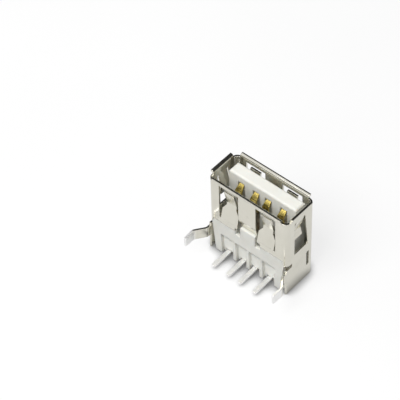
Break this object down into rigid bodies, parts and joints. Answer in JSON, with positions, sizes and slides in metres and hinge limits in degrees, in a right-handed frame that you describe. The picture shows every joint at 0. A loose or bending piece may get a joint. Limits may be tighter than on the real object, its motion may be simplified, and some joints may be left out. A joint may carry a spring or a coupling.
{
  "type": "usb-a socket",
  "caption": "Right-angle board socket for a flat USB-A plug: folded nickel shell with curled lips, sprung leaves and kinked legs, white moulded tongue and comb, sprung gold contacts with tinned tails.",
  "frame": {"origin": "middle of the rear wall's outer face, on which the socket stands", "axes": "+Z out of the mouth, +X across the width, -Y towards the circuit board, from which the legs and tails stand out"},
  "size_m": [0.0152, 0.0096, 0.014],
  "materials": {
    "nickel": "satin nickel plating on folded sheet",
    "white_plastic": "moulded, faintly glossy",
    "contact_plating": "gold on the sprung end, bright tin on the tail"
  },
  "bodies": {
    "root": {"shell": "nickel", "housing": "white_plastic", "contact_power": "contact_plating", "contact_data_minus": "contact_plating", "contact_data_plus": "contact_plating", "contact_ground": "contact_plating"}
  },
  "joints": []
}
